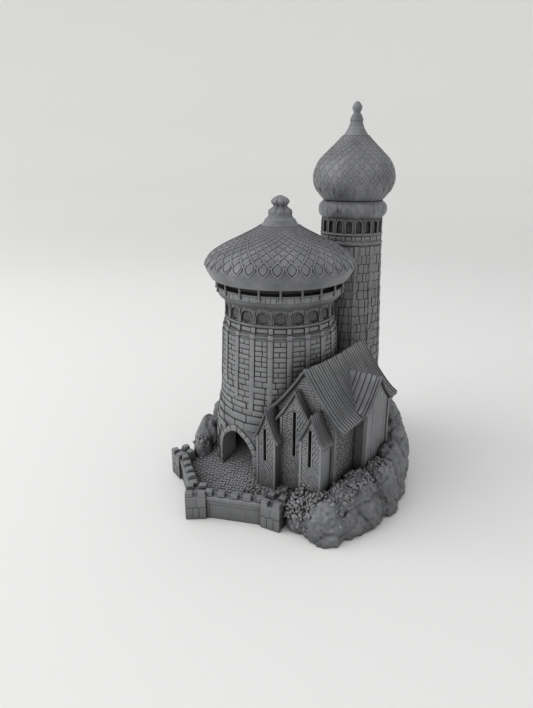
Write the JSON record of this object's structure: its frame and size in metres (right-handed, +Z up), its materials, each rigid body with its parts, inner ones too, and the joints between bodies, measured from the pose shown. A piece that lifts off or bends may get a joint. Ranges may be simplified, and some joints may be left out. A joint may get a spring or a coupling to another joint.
{
  "type": "dice tower",
  "caption": "Tabletop dice tower shaped as a castle: round keep with a lift-off domed roof and an inner chute, a minaret, a gabled chapel on rocks and a walled court that catches the dice.",
  "frame": {"origin": "centre of the round keep's axis on the surface that the tower stands on", "axes": "+Z up along the keep's axis, -Y out of the doorway into the court, +X towards the chapel"},
  "size_m": [0.1378, 0.1748, 0.2223],
  "materials": {
    "print_stone": "matte",
    "print_planks": "matte",
    "print_scales": "satin",
    "print_rock": "matte",
    "print_paving": "matte",
    "print_plain": "matte"
  },
  "bodies": {
    "castle": {"base_plate": "print_paving", "courtyard_floor": "print_paving", "curtain_wall_left": "print_stone", "curtain_wall_right": "print_stone", "turret_left": "print_stone", "turret_front": "print_stone", "turret_right": "print_stone", "keep_foot": "print_stone", "door_arch": "print_stone", "exit_stair": "print_paving", "keep_shaft": "print_stone", "keep_pilasters": "print_stone", "ramp_lower": "print_plain", "ramp_upper": "print_plain", "string_course": "print_stone", "arcade_sill": "print_stone", "arcade_wall": "print_stone", "cornice": "print_stone", "parapet": "print_stone", "gallery_drum": "print_plain", "gallery_posts": "print_stone", "gallery_ring": "print_stone", "minaret_shaft": "print_stone", "minaret_pilasters": "print_stone", "minaret_string": "print_stone", "minaret_arcade": "print_stone", "minaret_cushion": "print_stone", "onion_dome": "print_scales", "onion_finial": "print_stone", "chapel_walls": "print_stone", "chapel_roof": "print_planks", "wing_walls": "print_stone", "wing_roof": "print_planks", "gable_left_walls": "print_stone", "gable_left_roof": "print_planks", "gable_middle_walls": "print_stone", "gable_middle_roof": "print_planks", "gable_right_walls": "print_stone", "gable_right_roof": "print_planks", "rocks_front": "print_rock", "rocks_side": "print_rock", "rocks_corner": "print_rock", "rocks_back": "print_rock", "rocks_left": "print_rock"},
    "roof": {"roof_dome": "print_scales", "roof_spigot": "print_plain", "roof_finial": "print_stone"}
  },
  "joints": [
    {"name": "roof_lift", "type": "slide", "parent": "castle", "child": "roof", "axis": [0, 0, 1], "range_m": [0, 0.022]}
  ]
}
